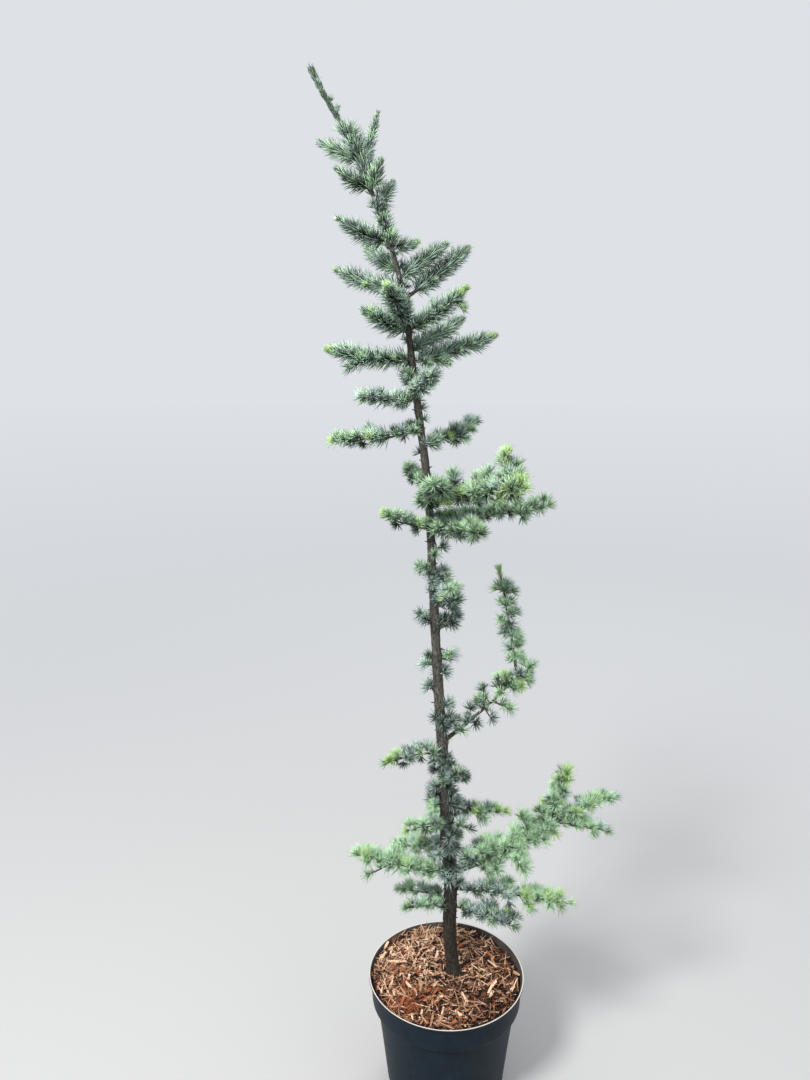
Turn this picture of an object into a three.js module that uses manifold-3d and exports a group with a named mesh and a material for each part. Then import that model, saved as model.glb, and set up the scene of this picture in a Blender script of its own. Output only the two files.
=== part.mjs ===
// A young atlas cedar in a round nursery pot. Millimetres, +Z up, origin at the centre of the pot's flat
// underside. +X is to the right and -Y to the front of the side that shows best. A heading is an angle seen
// from above, 0 along +X and 90 along +Y, in degrees.
import * as THREE from "three";
import Module from "manifold-3d";
import { mergeVertices } from "three/addons/utils/BufferGeometryUtils.js";

// Driving sizes of the pot
const POT_HEIGHT = 230;
const RIM_RADIUS = 150;
const LIP_DEPTH = 5;
const BAND_HEIGHT = 50;
const BAND_TOP_RADIUS = 146;
const BAND_FOOT_RADIUS = 143;
const BODY_TOP_RADIUS = 135;
const BODY_FOOT_RADIUS = 114;
const CORNER = 12;
const WALL = 2.2;
const FLOOR = 4;
const MULCH_BELOW_RIM = 17;
const MULCH_DOME = 5;
const POT_SIDES = 32;

// Driving sizes of the tree
const GAP = 0.4;
const GROUND = POT_HEIGHT - MULCH_BELOW_RIM + MULCH_DOME + GAP;
const TREE_TOP = 1846;
const FLARE_HEIGHT = 34;
const FLARE = 5;
const TRUNK_SIDES = 8;
const TRUNK_RINGS = 18;
const BOUGH_SIDES = 7;
const BOUGH_RINGS = 3;
const BOUGH_SWELL = 1.25;
const FOLIAGE_SIDES = 7;
const FOLIAGE_RINGS = 6;
const SHOOT_SIDES = 5;
const SHOOT_RINGS = 4;
const SHOOT_SHARE = 0.8;
const UNEVENNESS = 0.2;
const LIFT = 0.22;

// How far the trunk's axis stands right of and behind the pot's axis, and its radius, at each height
const TRUNK = [
  { height: GROUND, right: 15, back: 4, radius: 13 },
  { height: 300, right: 7, back: 3, radius: 12.5 },
  { height: 445, right: 6, back: 0, radius: 12.5 },
  { height: 520, right: -2, back: -2, radius: 12 },
  { height: 600, right: -4, back: -3, radius: 11.5 },
  { height: 706, right: -12, back: -1, radius: 10.3 },
  { height: 790, right: -18, back: 0, radius: 9.2 },
  { height: 975, right: -29, back: 2, radius: 7.7 },
  { height: 1189, right: -42, back: 3, radius: 7 },
  { height: 1325, right: -60, back: 0, radius: 6.3 },
  { height: 1550, right: -96, back: 2, radius: 4.2 },
  { height: 1661, right: -133, back: 0, radius: 3.5 },
  { height: 1746, right: -174, back: 0, radius: 2.6 },
  { height: TREE_TOP, right: -231, back: 0, radius: 1.2 },
];

// Foliage that the trunk runs up through: its span of heights and its radius
const STEM_FOLIAGE = [
  { name: "leader", low: 1752, high: 1856, radius: 9 },
  { name: "stem_high", low: 1668, high: 1742, radius: 17 },
  { name: "stem_low", low: 1572, high: 1634, radius: 16 },
];

// Each limb starts on the trunk's axis at a height, or on another limb at a share of its length. It runs out
// by reach and up by rise, its middle stands over its chord by bow, and its foliage has this radius.
const LIMBS = [
  { name: "tip_left", height: 1703, heading: 157, reach: 80, rise: 38, bow: 0, radius: 12 },
  { name: "tip_front_left", height: 1661, heading: -152, reach: 64, rise: 26, bow: -3, radius: 13 },
  { name: "tip_right", height: 1695, heading: 42, reach: 32, rise: 94, bow: -4, radius: 11 },
  { name: "tip_front", height: 1658, heading: -62, reach: 36, rise: 44, bow: -3, radius: 11 },
  { name: "tip_right_back", height: 1636, heading: 57, reach: 50, rise: 48, bow: -2, radius: 13 },
  { name: "neck_left", height: 1580, heading: -155, reach: 95, rise: 31, bow: -6, radius: 14 },
  { name: "neck_right", height: 1571, heading: 13, reach: 48, rise: 13, bow: -4, radius: 14 },
  { name: "crown_right_high", height: 1525, heading: 40, reach: 109, rise: 65, bow: -3, radius: 17 },
  { name: "crown_back_high", height: 1535, heading: 123, reach: 107, rise: 56, bow: -4, radius: 16 },
  { name: "crown_left_high", height: 1508, heading: 153, reach: 132, rise: 38, bow: -7, radius: 15 },
  { name: "crown_right", height: 1490, heading: 43, reach: 160, rise: 100, bow: -4, radius: 18 },
  { name: "crown_front", height: 1449, heading: -106, reach: 125, rise: 51, bow: 0, radius: 18 },
  { name: "crown_front_left", height: 1437, heading: -141, reach: 96, rise: 33, bow: -3, radius: 17 },
  { name: "crown_front_right", height: 1439, heading: -32, reach: 112, rise: 64, bow: -5, radius: 19 },
  { name: "crown_right_low", height: 1408, heading: 32, reach: 112, rise: 57, bow: -3, radius: 18 },
  { name: "crown_right_long", height: 1388, heading: 22, reach: 162, rise: 48, bow: -3, radius: 17 },
  { name: "crown_left_long", height: 1392, heading: -157, reach: 155, rise: 15, bow: -6, radius: 18 },
  { name: "collar_front_right", height: 1338, heading: -72, reach: 95, rise: 28, bow: 2, radius: 18 },
  { name: "collar_back", height: 1350, heading: 95, reach: 125, rise: 32, bow: -4, radius: 17 },
  { name: "collar_left", height: 1325, heading: -144, reach: 120, rise: 7, bow: -3, radius: 17 },
  { name: "collar_left_low", height: 1273, heading: -162, reach: 161, rise: -15, bow: -3, radius: 15 },
  { name: "collar_right_back", height: 1246, heading: 41, reach: 137, rise: 42, bow: -4, radius: 17 },
  { name: "middle_front", height: 1152, heading: -47, reach: 217, rise: 47, bow: 2, radius: 20 },
  { name: "middle_front_inner", height: 1140, heading: -88, reach: 130, rise: 60, bow: 2, radius: 20 },
  { name: "middle_upturned", on: "middle_front", share: 0.78,
    heading: 56, reach: 10, rise: 68, bow: -4, radius: 15 },
  { name: "middle_back", height: 1178, heading: 112, reach: 150, rise: 36, bow: -5, radius: 17 },
  { name: "middle_right_long", height: 1116, heading: -5, reach: 214, rise: 36, bow: -3, radius: 16 },
  { name: "middle_front_low", height: 1101, heading: -53, reach: 138, rise: 16, bow: 2, radius: 19 },
  { name: "middle_left", height: 1105, heading: -144, reach: 102, rise: 37, bow: -8, radius: 17 },
  { name: "waist_front_high", height: 972, heading: -56, reach: 78, rise: 20, bow: 0, radius: 20 },
  { name: "spire_arm", height: 706, heading: 4, reach: 137, rise: 120, bow: -4, radius: 14 },
  { name: "spire", on: "spire_arm", share: 1,
    heading: 151, reach: 42, rise: 206, bow: 12, radius: 15 },
  { name: "waist_left", height: 686, heading: -154, reach: 115, rise: 3, bow: 5, radius: 15 },
  { name: "waist_front_low", height: 624, heading: -62, reach: 68, rise: 52, bow: 0, radius: 17 },
  { name: "waist_right", height: 586, heading: 14, reach: 126, rise: -29, bow: -7, radius: 14 },
  { name: "waist_right_front", height: 548, heading: -38, reach: 62, rise: 6, bow: 0, radius: 16 },
  { name: "waist_left_low", height: 546, heading: -154, reach: 90, rise: 3, bow: 2, radius: 15 },
  { name: "skirt_left_high", height: 492, heading: 164, reach: 108, rise: -8, bow: 0, radius: 17 },
  { name: "skirt_left", height: 442, heading: -162, reach: 186, rise: 77, bow: -5, radius: 18 },
  { name: "skirt_left_low", height: 384, heading: 166, reach: 106, rise: 8, bow: 4, radius: 15 },
  { name: "skirt_front_left", height: 366, heading: -150, reach: 100, rise: 34, bow: 8, radius: 14 },
  { name: "skirt_back", height: 455, heading: 100, reach: 170, rise: 45, bow: -6, radius: 18 },
  { name: "skirt_right", height: 442, heading: -6, reach: 196, rise: 115, bow: -11, radius: 23 },
  { name: "skirt_tip", on: "skirt_right", share: 1,
    heading: 10, reach: 120, rise: 39, bow: 9, radius: 15 },
  { name: "skirt_drooping", on: "skirt_right", share: 0.99,
    heading: -4, reach: 101, rise: -20, bow: -2, radius: 14 },
  { name: "skirt_upturned", on: "skirt_right", share: 0.9,
    heading: 13, reach: 38, rise: 122, bow: -6, radius: 18 },
  { name: "skirt_right_low", height: 409, heading: -10, reach: 232, rise: 6, bow: 2, radius: 16 },
  { name: "skirt_front_low", height: 373, heading: -35, reach: 144, rise: 10, bow: 0, radius: 16 },
];

// Limbs that show a bare bough before their foliage starts: how far it runs, and its radius
const BARE_WOOD = {
  crown_right: { length: 30, radius: 2.8 },
  middle_front: { length: 42, radius: 3.6 },
  spire_arm: { length: 40, radius: 3.6 },
  skirt_right: { length: 44, radius: 4.4 },
  skirt_right_low: { length: 46, radius: 3.4 },
};

// Short side shoots that fill out the foliage of a limb, each from a share of that limb's length
const SHOOTS = {
  neck_left: [{ share: 0.5, heading: -92, reach: 16, rise: -12 }],
  crown_left_high: [{ share: 0.4, heading: -130, reach: 26, rise: -6 }],
  crown_right: [{ share: 0.35, heading: -52, reach: 26, rise: -3 }],
  crown_front_left: [{ share: 0.5, heading: 107, reach: 22, rise: 20 }],
  crown_front_right: [
    { share: 0.45, heading: -126, reach: 14, rise: 22 },
    { share: 0.75, heading: -29, reach: 22, rise: -18 },
  ],
  crown_right_long: [{ share: 0.4, heading: -30, reach: 30, rise: 2 }],
  crown_left_long: [
    { share: 0.5, heading: -139, reach: 46, rise: -20 },
    { share: 0.6, heading: 162, reach: 32, rise: 20 },
  ],
  collar_left: [{ share: 0.5, heading: 123, reach: 20, rise: 14 }],
  collar_left_low: [{ share: 0.5, heading: 130, reach: 26, rise: 20 }],
  collar_right_back: [{ share: 0.5, heading: -37, reach: 34, rise: -6 }],
  middle_front: [
    { share: 0.3, heading: -120, reach: 18, rise: 46 },
    { share: 0.47, heading: -54, reach: 12, rise: 36 },
    { share: 0.68, heading: 100, reach: 26, rise: 36 },
    { share: 0.85, heading: 62, reach: 28, rise: 42 },
  ],
  middle_front_inner: [{ share: 0.5, heading: -61, reach: 44, rise: 14 }],
  middle_right_long: [{ share: 0.7, heading: -67, reach: 30, rise: -10 }],
  middle_front_low: [{ share: 0.55, heading: 99, reach: 26, rise: -16 }],
  spire_arm: [
    { share: 0.55, heading: -20, reach: 58, rise: 12 },
    { share: 0.96, heading: -17, reach: 38, rise: 44 },
  ],
  skirt_right: [
    { share: 0.45, heading: 140, reach: 44, rise: 16 },
    { share: 0.55, heading: -67, reach: 54, rise: -21 },
    { share: 0.35, heading: -120, reach: 44, rise: 38 },
    { share: 0.74, heading: -155, reach: 26, rise: 58 },
  ],
  skirt_upturned: [{ share: 0.35, heading: -139, reach: 26, rise: 30 }],
  skirt_right_low: [
    { share: 0.45, heading: 88, reach: 40, rise: 3 },
    { share: 0.6, heading: 26, reach: 46, rise: -14 },
  ],
  skirt_front_low: [{ share: 0.5, heading: 54, reach: 38, rise: 0 }],
  skirt_left: [
    { share: 0.5, heading: 121, reach: 35, rise: 22 },
    { share: 0.4, heading: -105, reach: 32, rise: 8 },
  ],
};

const FINISH = {
  pot: { color: 0x2f3439, roughness: 0.5, metalness: 0 },
  mulch: { color: 0x8a5f44, roughness: 0.95, metalness: 0 },
  bark: { color: 0x6d625a, roughness: 0.9, metalness: 0 },
  foliage: { color: 0x7f998c, roughness: 0.7, metalness: 0 },
};

const DEGREE = Math.PI / 180;
const UP = new THREE.Vector3(0, 0, 1);

const wasm = await Module();
wasm.setup();

function solidOf(geometry) {
  const bare = new THREE.BufferGeometry();
  bare.setAttribute("position", geometry.getAttribute("position"));
  bare.setIndex(geometry.index);
  const merged = mergeVertices(bare, 1e-4);
  return new wasm.Manifold(
    new wasm.Mesh({
      numProp: 3,
      vertProperties: merged.getAttribute("position").array,
      triVerts: new Uint32Array(merged.index.array),
    }),
  );
}

function geometryOf(solid) {
  const mesh = solid.getMesh();
  const geometry = new THREE.BufferGeometry();
  geometry.setAttribute("position", new THREE.BufferAttribute(mesh.vertProperties, mesh.numProp));
  geometry.setIndex(new THREE.BufferAttribute(mesh.triVerts, 1));
  geometry.computeVertexNormals();
  return geometry;
}

function biggestPiece(solid) {
  return solid.decompose().reduce((best, piece) => (piece.volume() > best.volume() ? piece : best));
}

function counts(last) {
  return [...Array(last + 1).keys()];
}

// Bends a cylinder or a sphere of unit size, whose length lies along Y, so that it follows a curve. radiusAt
// gives the radius from the share of the curve's length and the angle round it; lift raises the whole.
function follow(unit, curve, rows, radiusAt, lift) {
  const frames = curve.computeFrenetFrames(rows);
  const line = counts(rows).map((row) => curve.getPointAt(row / rows));
  const position = unit.getAttribute("position");
  for (let i = 0; i < position.count; i++) {
    const [x, y, z] = [position.getX(i), position.getY(i), position.getZ(i)];
    const share = (y + 1) / 2;
    const row = Math.min(rows - 1, Math.floor(share * rows));
    const part = share * rows - row;
    const normal = frames.normals[row].clone().lerp(frames.normals[row + 1], part).normalize();
    const binormal = frames.binormals[row].clone().lerp(frames.binormals[row + 1], part).normalize();
    const angle = Math.atan2(z, x);
    const radius = Math.hypot(x, z) > 1e-6 ? radiusAt(share, angle) : 0;
    const point = line[row].clone().lerp(line[row + 1], part);
    point.addScaledVector(normal, -radius * Math.cos(angle));
    point.addScaledVector(binormal, radius * Math.sin(angle));
    point.addScaledVector(UP, lift);
    position.setXYZ(i, point.x, point.y, point.z);
  }
  return solidOf(unit);
}

function taper(curve, sides, rows, radiusAt) {
  return follow(new THREE.CylinderGeometry(1, 1, 2, sides, rows), curve, rows, radiusAt, 0);
}

// A closed sleeve with blunt ends and an uneven outside, whose lumps differ with its seed.
function sleeve(curve, sides, rows, radius, seed, extra) {
  const radiusAt = (share, angle) => {
    const blunt = Math.pow(Math.max(0, 1 - Math.pow(Math.abs(2 * share - 1), 3)), 0.45);
    const twist = Math.sin(2 * angle + seed) * Math.cos(8 * share + seed);
    const rings = 0.7 * Math.sin(13 * share + 2 * seed);
    return radius * blunt * (1 + UNEVENNESS * (twist + rings)) + extra;
  };
  return follow(new THREE.SphereGeometry(1, sides, rows), curve, rows, radiusAt, LIFT * radius);
}

function stretch(curve, from, to) {
  return new THREE.CatmullRomCurve3(counts(4).map((i) => curve.getPointAt(from + ((to - from) * i) / 4)));
}

function limbCurve(start, { heading, reach, rise, bow = 0 }) {
  const run = new THREE.Vector3(reach, 0, rise).applyAxisAngle(UP, heading * DEGREE);
  const middle = start.clone().addScaledVector(run, 0.5).addScaledVector(UP, 2 * bow);
  return new THREE.QuadraticBezierCurve3(start, middle, start.clone().add(run));
}

// The pot, a closed profile of radius and height turned round the axis, and the mulch that fills it

function turned(profile) {
  const points = profile.map(([radius, height]) => new THREE.Vector2(radius, height));
  return solidOf(new THREE.LatheGeometry(points, POT_SIDES).rotateX(Math.PI / 2));
}

function pot() {
  const bandFoot = POT_HEIGHT - BAND_HEIGHT;
  const outside = [
    [0, 0],
    [BODY_FOOT_RADIUS - 10, 0],
    [BODY_FOOT_RADIUS - 3, CORNER * 0.4],
    [BODY_FOOT_RADIUS, CORNER],
    [BODY_TOP_RADIUS, bandFoot - 2],
    [BAND_FOOT_RADIUS, bandFoot],
    [BAND_TOP_RADIUS, POT_HEIGHT - LIP_DEPTH - 1],
    [RIM_RADIUS, POT_HEIGHT - LIP_DEPTH],
    [RIM_RADIUS, POT_HEIGHT - 1],
    [RIM_RADIUS - 1, POT_HEIGHT],
  ];
  const inside = [
    [BAND_TOP_RADIUS - WALL, POT_HEIGHT],
    [BAND_FOOT_RADIUS - WALL, bandFoot + 4],
    [BODY_TOP_RADIUS - WALL, bandFoot],
    [BODY_FOOT_RADIUS - WALL, CORNER],
    [BODY_FOOT_RADIUS - 10, FLOOR],
    [0, FLOOR],
  ];
  return turned([...outside, ...inside]);
}

function mulch() {
  const bandFoot = POT_HEIGHT - BAND_HEIGHT;
  const edge = POT_HEIGHT - MULCH_BELOW_RIM;
  return turned([
    [0, FLOOR + GAP],
    [BODY_FOOT_RADIUS - 12, FLOOR + GAP],
    [BODY_FOOT_RADIUS - WALL - 1, CORNER + 2],
    [BODY_TOP_RADIUS - WALL - 1, bandFoot],
    [BAND_FOOT_RADIUS - WALL - 1.5, bandFoot + 6],
    [BAND_FOOT_RADIUS - WALL, edge],
    [RIM_RADIUS * 0.6, edge + MULCH_DOME],
    [0, edge + MULCH_DOME],
  ]);
}

// The trunk

const trunkCurve = new THREE.CatmullRomCurve3(TRUNK.map((t) => new THREE.Vector3(t.right, t.back, t.height)));

function trunkRadius(height) {
  const above = Math.max(1, TRUNK.findIndex((t) => t.height >= height - 1e-3));
  const [low, high] = [TRUNK[above - 1], TRUNK[above]];
  const radius = THREE.MathUtils.mapLinear(height, low.height, high.height, low.radius, high.radius);
  return radius + FLARE * Math.pow(Math.max(0, 1 - (height - GROUND) / FLARE_HEIGHT), 2);
}

// The share of the trunk curve's length at which it passes a height, found by halving.
function trunkShare(height) {
  let [low, high] = [0, 1];
  for (let i = 0; i < 30; i++) {
    const middle = (low + high) / 2;
    if (trunkCurve.getPointAt(middle).z < height) low = middle;
    else high = middle;
  }
  return low;
}

function trunk(extra) {
  const radiusAt = (share) => trunkRadius(trunkCurve.getPointAt(share).z) + extra;
  const ground = new THREE.BoxGeometry(RIM_RADIUS, RIM_RADIUS, 100).translate(0, 0, GROUND - 50);
  return taper(trunkCurve, TRUNK_SIDES, TRUNK_RINGS, radiusAt).subtract(solidOf(ground));
}

// Boughs and foliage. Each is made twice, once as it is and once grown by the gap to cut its neighbours.

const limbCurves = {};
for (const limb of LIMBS) {
  const [parent, share] = limb.on ? [limbCurves[limb.on], limb.share] : [trunkCurve, trunkShare(limb.height)];
  limbCurves[limb.name] = limbCurve(parent.getPointAt(share), limb);
}

function bough(name, wood, extra) {
  const curve = limbCurves[name];
  const radiusAt = (share) => wood.radius * (BOUGH_SWELL - 0.4 * share) + extra;
  return taper(stretch(curve, 0, wood.length / curve.getLength()), BOUGH_SIDES, BOUGH_RINGS, radiusAt);
}

function stemFoliage(stem, extra) {
  const run = stretch(trunkCurve, trunkShare(stem.low), trunkShare(Math.min(stem.high, TREE_TOP)));
  return sleeve(run, FOLIAGE_SIDES, FOLIAGE_RINGS, stem.radius, stem.low, extra);
}

function limbFoliage(limb, seed, extra) {
  const curve = limbCurves[limb.name];
  const bare = limb.name in BARE_WOOD ? BARE_WOOD[limb.name].length + GAP : 0;
  const run = stretch(curve, bare / curve.getLength(), 1);
  const parts = (SHOOTS[limb.name] ?? []).map((shoot, i) =>
    sleeve(
      limbCurve(curve.getPointAt(shoot.share), shoot),
      SHOOT_SIDES,
      SHOOT_RINGS,
      limb.radius * SHOOT_SHARE,
      seed + i,
      extra,
    ),
  );
  const main = sleeve(run, FOLIAGE_SIDES, FOLIAGE_RINGS, limb.radius, seed, extra);
  return parts.reduce((whole, part) => whole.add(part), main);
}

function apart(a, b) {
  return [0, 1, 2].some((axis) => a.max[axis] < b.min[axis] || b.max[axis] < a.min[axis]);
}

const tree = new THREE.Group();
const placed = [];

// Adds a piece cut clear of every piece of the tree that came before it.
function add(name, look, solid, grown) {
  const bounds = solid.boundingBox();
  const near = placed.filter((piece) => !apart(bounds, piece.bounds));
  const cut = near.reduce((rest, piece) => rest.subtract(piece.solid), solid);
  placed.push({ solid: grown, bounds: grown.boundingBox() });
  const mesh = new THREE.Mesh(geometryOf(biggestPiece(cut)), new THREE.MeshStandardMaterial(FINISH[look]));
  mesh.name = name;
  tree.add(mesh);
}

add("pot", "pot", pot(), pot());
add("mulch", "mulch", mulch(), mulch());
add("trunk", "bark", trunk(0), trunk(GAP));
for (const [name, wood] of Object.entries(BARE_WOOD)) {
  add("bough_" + name, "bark", bough(name, wood, 0), bough(name, wood, GAP));
}
for (const stem of STEM_FOLIAGE) {
  add("foliage_" + stem.name, "foliage", stemFoliage(stem, 0), stemFoliage(stem, GAP));
}
LIMBS.forEach((limb, seed) => {
  add("foliage_" + limb.name, "foliage", limbFoliage(limb, seed, 0), limbFoliage(limb, seed, GAP));
});

export default tree;
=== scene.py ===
# A young atlas cedar in a round nursery pot. Sizes of the tree are in millimetres until a mesh is made.
import math
from collections import namedtuple

import bmesh
import bpy
import numpy as np
from mathutils import Matrix, Vector, noise


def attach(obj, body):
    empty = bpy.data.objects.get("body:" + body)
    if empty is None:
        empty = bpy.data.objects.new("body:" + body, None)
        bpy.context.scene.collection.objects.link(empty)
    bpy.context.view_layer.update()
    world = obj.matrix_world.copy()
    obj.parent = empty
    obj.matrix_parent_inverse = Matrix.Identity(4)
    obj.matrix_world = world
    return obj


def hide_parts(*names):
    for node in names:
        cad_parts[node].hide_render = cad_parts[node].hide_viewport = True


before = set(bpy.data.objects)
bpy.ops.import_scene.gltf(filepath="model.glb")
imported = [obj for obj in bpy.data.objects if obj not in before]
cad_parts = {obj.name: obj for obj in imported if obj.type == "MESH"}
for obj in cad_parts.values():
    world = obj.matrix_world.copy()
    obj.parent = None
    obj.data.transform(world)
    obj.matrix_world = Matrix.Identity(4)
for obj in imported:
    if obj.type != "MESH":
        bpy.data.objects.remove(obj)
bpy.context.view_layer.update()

MM = 0.001
UP = np.array([0.0, 0.0, 1.0])
FULL_TURN = 2 * math.pi
GOLDEN_TURN = math.radians(137.5)
GROUND = 218.4
LEADER_FOOT = 1746
TREE_TOP = 1846
FLARE = 5
FLARE_HEIGHT = 34

# Heights above which fewer tips are fresh, tips are slim, and needles are all of one length
CROWN_FROM = 1250
SLIM_TIPS_FROM = 1380
TOP_SHOOTS_FROM = 1550

# Levels of a twig
LIMB, SHOOT, SIDE_TWIG = 0, 1, 2

# Height, how far the trunk's axis stands right of and behind the pot's axis, and its radius
TRUNK = [
    (GROUND, 15, 4, 13),
    (300, 7, 3, 12.5),
    (445, 6, 0, 12.5),
    (520, -2, -2, 12),
    (600, -4, -3, 11.5),
    (706, -12, -1, 10.3),
    (790, -18, 0, 9.2),
    (975, -29, 2, 7.7),
    (1189, -42, 3, 7),
    (1325, -60, 0, 6.3),
    (1550, -96, 2, 4.2),
    (1618, -118, 1, 3.8),
    (1657, -134, 0, 3.5),
    (1698, -148, 0, 3.1),
    (1746, -174, 0, 2.6),
    (1805, -210, 0, 1.8),
    (TREE_TOP, -231, 0, 1.2),
]

# Each limb's name, the height on the trunk or the limb and the share of it that it grows from, heading,
# reach, rise, bow and the radius of its foliage
LIMBS = [
    ("tip_left", 1703, 157, 80, 38, 0, 12),
    ("tip_front_left", 1661, -152, 64, 26, -3, 13),
    ("tip_right", 1695, 42, 32, 94, -4, 11),
    ("tip_front", 1658, -62, 36, 44, -3, 11),
    ("tip_right_back", 1636, 57, 50, 48, -2, 13),
    ("neck_left", 1580, -155, 95, 31, -6, 14),
    ("neck_right", 1571, 13, 48, 13, -4, 14),
    ("crown_right_high", 1525, 40, 109, 65, -3, 17),
    ("crown_back_high", 1535, 123, 107, 56, -4, 16),
    ("crown_left_high", 1508, 153, 132, 38, -7, 15),
    ("crown_right", 1490, 43, 160, 100, -4, 18),
    ("crown_front", 1449, -106, 125, 51, 0, 24),
    ("crown_front_left", 1437, -141, 98, 32, -3, 22),
    ("crown_front_right", 1439, -32, 112, 64, -5, 19),
    ("crown_right_low", 1408, 32, 112, 57, -3, 18),
    ("crown_right_long", 1388, 22, 162, 48, -3, 17),
    ("crown_left_long", 1392, -157, 155, 15, -6, 18),
    ("collar_front_right", 1338, -72, 95, 28, 2, 18),
    ("collar_back", 1350, 95, 125, 32, -4, 17),
    ("collar_left", 1325, -144, 120, 7, -3, 17),
    ("collar_left_low", 1273, -162, 161, -15, -3, 15),
    ("collar_right_back", 1246, 41, 137, 42, -4, 17),
    ("middle_front", 1150, -47, 217, 45, 2, 25),
    ("middle_front_inner", 1138, -88, 130, 60, 2, 24),
    ("middle_upturned", ("middle_front", 0.78), 56, 10, 68, -4, 15),
    ("middle_back", 1178, 112, 98, 30, -5, 13),
    ("middle_right_long", 1115, -5, 212, 34, -3, 18),
    ("middle_front_low", 1100, -53, 140, 13, 2, 22),
    ("middle_left", 1105, -144, 102, 37, -8, 17),
    ("waist_front_high", 972, -56, 78, 20, 0, 20),
    ("spire_arm", 706, 4, 137, 120, -4, 14),
    ("spire", ("spire_arm", 1), 151, 42, 206, 12, 15),
    ("waist_left", 686, -154, 122, 2, 5, 16),
    ("waist_front_low", 624, -62, 68, 52, 0, 17),
    ("waist_right", 583, 14, 126, -31, -7, 15),
    ("waist_right_front", 548, -38, 62, 6, 0, 16),
    ("waist_left_low", 546, -154, 90, 3, 2, 15),
    ("skirt_left_high", 492, 164, 108, -8, 0, 17),
    ("skirt_left", 442, -162, 191, 76, -6, 19),
    ("skirt_left_low", 384, 166, 108, 5, 4, 17),
    ("skirt_front_left", 366, -152, 104, 31, 6, 16),
    ("skirt_back", 455, 100, 170, 45, -6, 18),
    ("skirt_right", 442, -6, 196, 115, -11, 23),
    ("skirt_tip", ("skirt_right", 1), 10, 120, 39, 9, 15),
    ("skirt_drooping", ("skirt_right", 0.99), -4, 101, -14, 1, 14),
    ("skirt_upturned", ("skirt_right", 0.9), 13, 38, 122, -6, 18),
    ("skirt_right_low", 409, -10, 232, -7, 4, 17),
    ("skirt_front_low", 373, -35, 144, 10, 0, 16),
]

# Limbs with a bare bough at their foot: its length and its radius
BARE_WOOD = {
    "crown_right": (30, 2.8),
    "middle_front": (42, 3.6),
    "spire_arm": (40, 3.6),
    "skirt_right": (44, 4.4),
    "skirt_right_low": (46, 3.4),
}

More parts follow.
